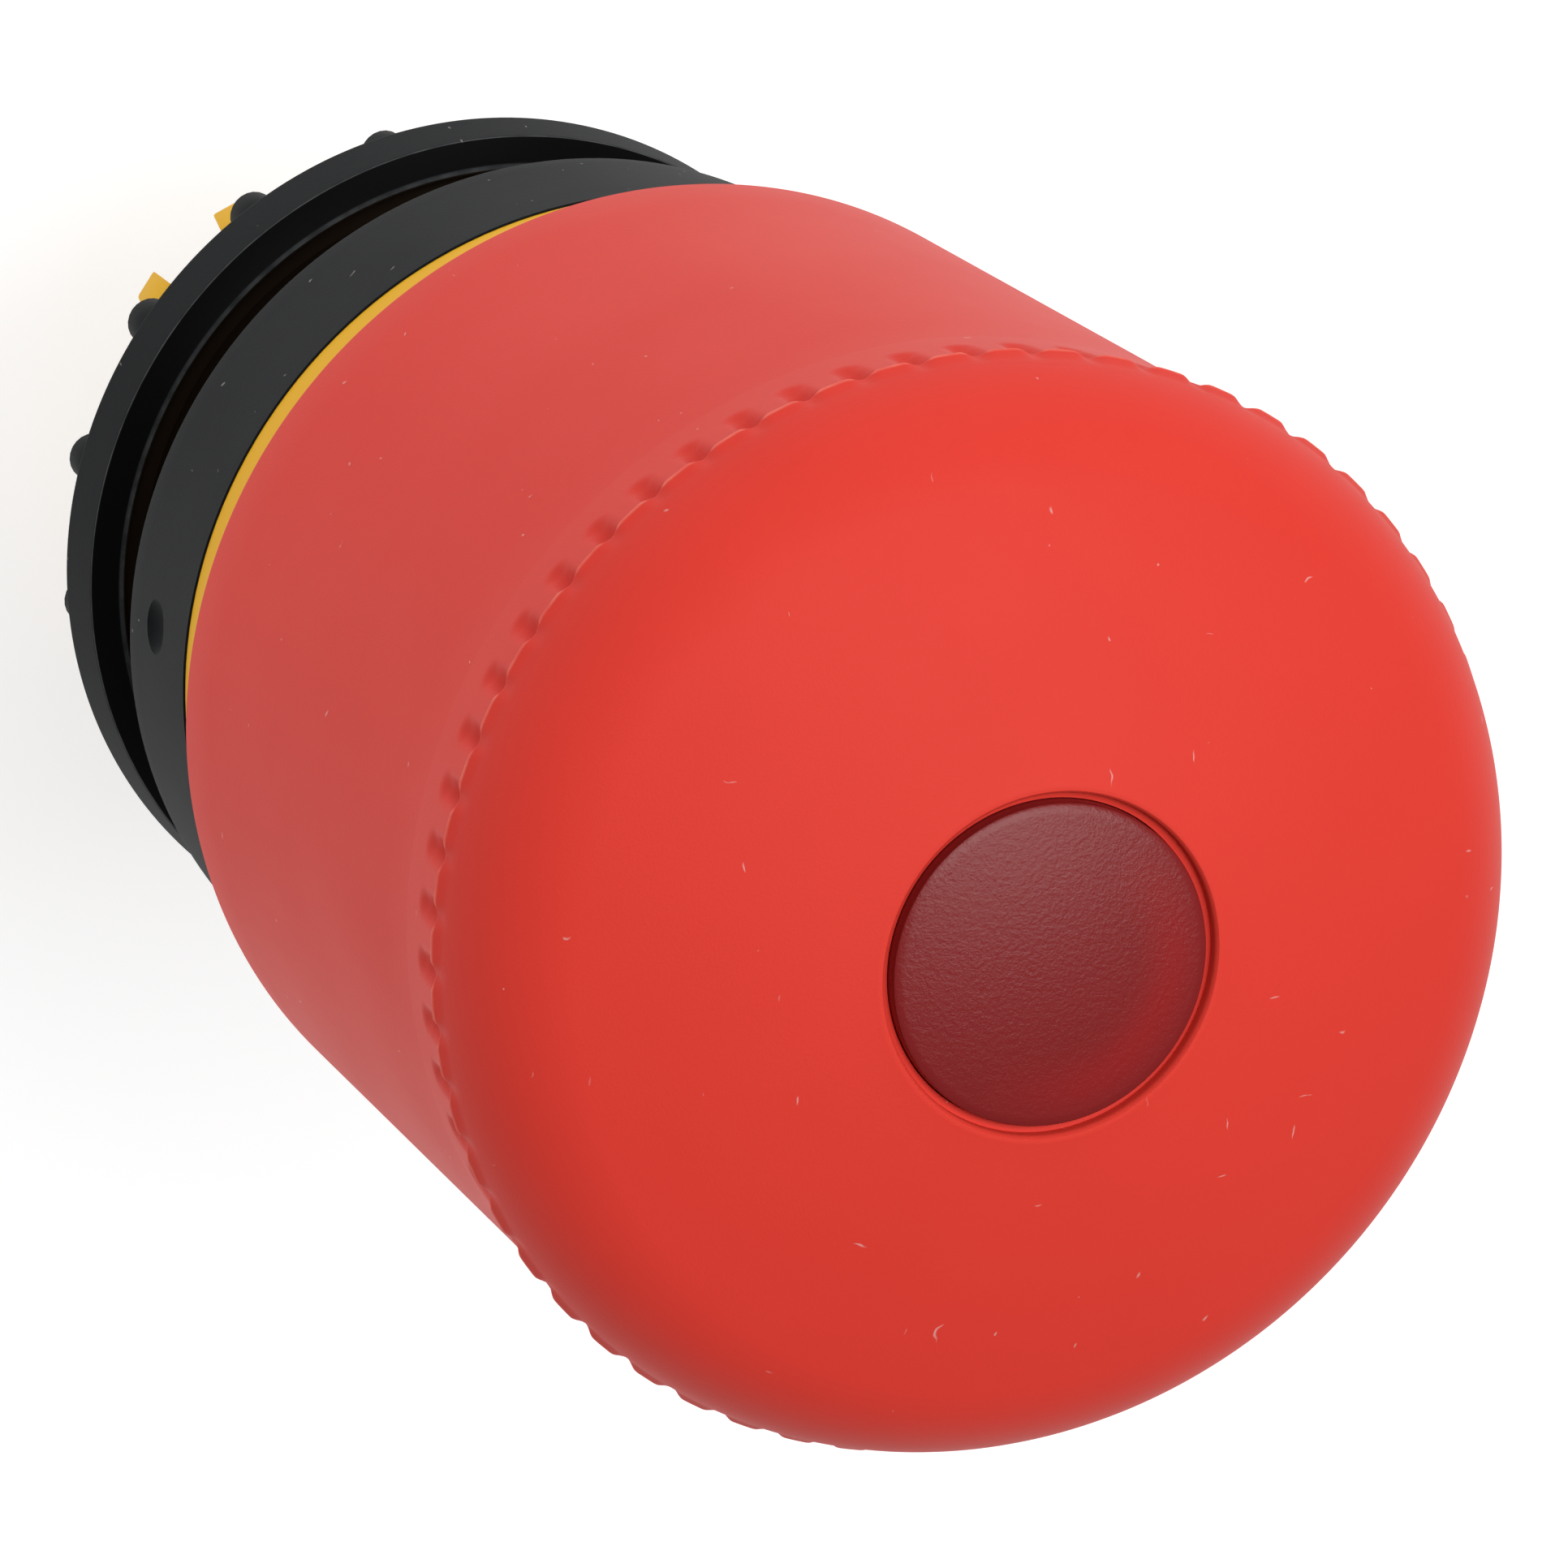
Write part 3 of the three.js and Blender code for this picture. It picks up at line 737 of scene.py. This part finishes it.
nut_outline = []
for number in range(KNOBS):
    middle = math.radians(KNOB_PHASE + number * 360 / KNOBS)
    lobe = rounded((KNOB_MIDDLE, 0), KNOB_SIZE, -95, 95, 12)
    nut_outline += [(x * math.cos(middle) - y * math.sin(middle),
                     x * math.sin(middle) + y * math.cos(middle)) for x, y in lobe]
    between = [middle + math.radians(turn) for turn in (5.5, 8.5, 11.25, 14, 17)]
    nut_outline += [(NUT_RADIUS * math.cos(turn), NUT_RADIUS * math.sin(turn)) for turn in between]
nut = slab("grip_ring_nut", nut_outline, NUT_REAR, NUT_FRONT, NUT_BORE)
soften(nut, 0.12)
nut.data.materials.append(black_plastic)
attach(nut, "nut")
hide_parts("ring_nut")

# Pressure piece: a yellow moulding clipped on the stem's end, with a forked lug on each diagonal that
# pushes the contact blocks. Each tine is cut back at the rear on one side, to lead it past the blocks.
PUSHER_RADIUS = 8.0
LUG_RADIUS = 10.33
LUG_SLOT = 8.6
LUG_REAR = -11.0
LUG_FRONT = -8.6
TINES = ((-2.62, -1.07), (1.33, 2.88))


def beside(size, offset):
    """The point at a distance from the axis, this far to the side of a lug's middle."""
    return (math.sqrt(size ** 2 - offset ** 2), offset)


pusher_outline = []
for diagonal in (45, 135, 225, 315):
    turn = math.radians(diagonal)
    (first_in, first_out), (second_in, second_out) = TINES
    fork = [
        beside(PUSHER_RADIUS, first_in), beside(LUG_RADIUS, first_in), beside(LUG_RADIUS, first_out),
        (LUG_SLOT, first_out), (LUG_SLOT, second_in),
        beside(LUG_RADIUS, second_in), beside(LUG_RADIUS, second_out), beside(PUSHER_RADIUS, second_out),
        *[beside(PUSHER_RADIUS, PUSHER_RADIUS * math.sin(math.radians(part)))
          for part in (25, 31, 38, 45, 52, 59, 66)],
    ]
    pusher_outline += [(u * math.cos(turn) - v * math.sin(turn), u * math.sin(turn) + v * math.cos(turn))
                       for u, v in fork]
pusher = slab("pressure_fork", pusher_outline, LUG_REAR, LUG_FRONT, 5.36)


def on_tine(turn, side):
    """Picks the rear vertices along one side of a tine."""
    def picks(place):
        along = (place.x * math.cos(turn) + place.y * math.sin(turn)) / MM
        across = (place.y * math.cos(turn) - place.x * math.sin(turn)) / MM
        return place.z < (LUG_REAR + 0.1) * MM and along > 7.4 and abs(across - side) < 0.05
    return picks


for diagonal in (45, 135, 225, 315):
    turn = math.radians(diagonal)
    for _, side in TINES:
        pick(pusher, on_tine(turn, side))
        bpy.ops.transform.translate(value=(0.5 * MM * math.sin(turn), -0.5 * MM * math.cos(turn), 0))
        bpy.ops.object.mode_set(mode="OBJECT")
bpy.ops.object.select_all(action="DESELECT")
bpy.ops.mesh.primitive_cylinder_add(vertices=96, radius=7 * MM, depth=2 * MM, location=(0, 0, -10.9 * MM))
carve(pusher, bpy.context.object)
soften(pusher, 0.1)
pusher.data.materials.append(yellow_plastic)
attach(pusher, "head")
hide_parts("pressure_piece")

# Stem, its clip and the spring's seat: turned pieces seen from the rear. The stem and the seat are natural
# acetal, and the clip is an open ring of spring steel in the pressure piece's recess.
natural_plastic = moulded(
    "natural_acetal", (0.72, 0.69, 0.60), (0.66, 0.63, 0.55), 0.40, 6000.0, 0.006, 0.1, (0.80, 0.78, 0.70))
stem_outline = [
    (3.4, -10.7), (3.5, -10.8), (5.05, -10.8), (5.2, -10.65), (5.2, 10.2), (6.0, 10.2), (6.0, 11.4),
    (5.2, 11.4), (5.2, 24.0), (7.6, 32.0), (7.6, 49.2), (3.4, 49.2),
]
stem = turned("hollow_push_stem", stem_outline, 96)
seat_outline = [
    (5.6, -7.55), (5.75, -7.7), (6.3, -7.7), (6.45, -7.55), (7.5, -7.55), (7.65, -7.7), (8.15, -7.7),
    (8.3, -7.55), (8.3, -6.45), (8.15, -6.3), (5.75, -6.3), (5.6, -6.45),
]
seat = turned("spring_end_seat", seat_outline, 96)
for piece, body, node in ((stem, "head", "push_stem"), (seat, "housing", "spring_seat")):
    piece.data.materials.append(natural_plastic)
    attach(piece, body)
    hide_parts(node)
clip_outline = [
    (5.36, -10.64), (5.42, -10.7), (6.64, -10.7), (6.7, -10.64), (6.7, -10.06), (6.64, -10.0),
    (5.42, -10.0), (5.36, -10.06),
]
clip = turned("stem_end_clip", clip_outline, 96)
bpy.ops.object.select_all(action="DESELECT")
bpy.ops.mesh.primitive_cube_add(size=2 * MM, location=(0, -6.5 * MM, -10.4 * MM))
carve(clip, bpy.context.object)
bpy.ops.object.shade_smooth_by_angle(angle=math.radians(30))

spring_steel = bpy.data.materials.new("plain_spring_steel")
spring_steel.use_nodes = True
steel_nodes, steel_link = spring_steel.node_tree.nodes, spring_steel.node_tree.links.new
steel_shader = steel_nodes["Principled BSDF"]
steel_shader.inputs["Metallic"].default_value = 1.0
steel_drift = steel_nodes.new("ShaderNodeGroup")
steel_drift.node_tree = DRIFT
steel_drift.inputs["First"].default_value = (0.52, 0.53, 0.55, 1)
steel_drift.inputs["Second"].default_value = (0.40, 0.41, 0.43, 1)
steel_drift.inputs["Scale"].default_value = 600.0
steel_link(steel_drift.outputs["Color"], steel_shader.inputs["Base Color"])
steel_finish = steel_nodes.new("ShaderNodeMapRange")
steel_finish.inputs["To Min"].default_value = 0.25
steel_finish.inputs["To Max"].default_value = 0.45
steel_link(steel_drift.outputs["Cloud"], steel_finish.inputs["Value"])
steel_link(steel_finish.outputs["Result"], steel_shader.inputs["Roughness"])
clip.data.materials.append(spring_steel)
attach(clip, "head")
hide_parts("stem_clip")

# Light guide: a clear acrylic rod, polished at both ends, that carries the light of a lamp at the rear up
# to the lens. It is a sliding fit in the stem.
GUIDE_RADIUS = 2.95
GUIDE_FRONT = 51.0
guide_outline = [
    (0, -10.3), (2.7, -10.45), (GUIDE_RADIUS, -10.3), (GUIDE_RADIUS, GUIDE_FRONT), (0, GUIDE_FRONT),
]
guide = turned("clear_light_guide", guide_outline, 96)
clear_plastic = bpy.data.materials.new("clear_acrylic")
clear_plastic.use_nodes = True
clear_nodes, clear_link = clear_plastic.node_tree.nodes, clear_plastic.node_tree.links.new
clear_shader = clear_nodes["Principled BSDF"]
clear_shader.inputs["Base Color"].default_value = (0.93, 0.96, 0.97, 1)
clear_shader.inputs["Transmission Weight"].default_value = 1.0
clear_shader.inputs["IOR"].default_value = 1.49
clear_drift = clear_nodes.new("ShaderNodeGroup")
clear_drift.node_tree = DRIFT
clear_finish = clear_nodes.new("ShaderNodeMapRange")
clear_finish.inputs["To Min"].default_value = 0.03
clear_finish.inputs["To Max"].default_value = 0.12
clear_link(clear_drift.outputs["Cloud"], clear_finish.inputs["Value"])
clear_link(clear_finish.outputs["Result"], clear_shader.inputs["Roughness"])
guide.data.materials.append(clear_plastic)
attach(guide, "head")
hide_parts("light_guide")

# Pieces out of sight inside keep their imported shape: the black hub, the natural guide sleeve and latch
# cage, the seals, and the steel spring, washer, band and pawls.
kept_finishes = {
    "head_hub": black_plastic,
    "guide_sleeve": natural_plastic,
    "latch_cage": natural_plastic,
    "lens_gasket": black_rubber,
    "stem_seal": black_rubber,
    "spring_washer": spring_steel,
    "latch_spring_band": spring_steel,
    "return_spring": spring_steel,
    "latch_pawl_right": spring_steel,
    "latch_pawl_left": spring_steel,
}
for node, finish in kept_finishes.items():
    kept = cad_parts[node]
    kept.data.materials.clear()
    kept.data.materials.append(finish)
